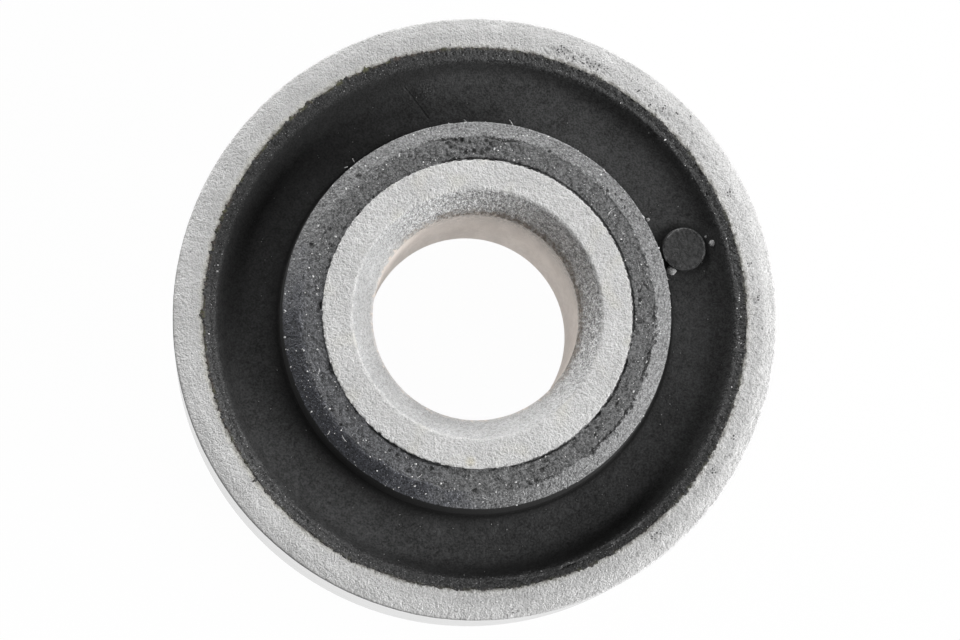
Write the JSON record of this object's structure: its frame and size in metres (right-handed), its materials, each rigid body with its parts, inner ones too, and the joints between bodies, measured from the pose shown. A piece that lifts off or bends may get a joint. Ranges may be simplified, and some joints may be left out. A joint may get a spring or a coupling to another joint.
{
  "type": "rubber metal bush",
  "caption": "Bonded bush: black rubber moulded between a thin outer and a thick inner steel sleeve, with a through bore and a raised collar.",
  "frame": {"origin": "centre of the lower end face of the inner sleeve, on the bore axis", "axes": "+Z along the bore axis towards the end with the gate stub; +X is the direction from which the stub's angle is counted"},
  "size_m": [0.036, 0.036, 0.017],
  "materials": {
    "inner_steel": "grit-blasted, dull grey",
    "outer_steel": "grit-blasted, dull grey",
    "rubber": "matt black, as moulded"
  },
  "bodies": {
    "root": {"inner_sleeve": "inner_steel", "outer_sleeve": "outer_steel", "rubber_body": "rubber"}
  },
  "joints": []
}
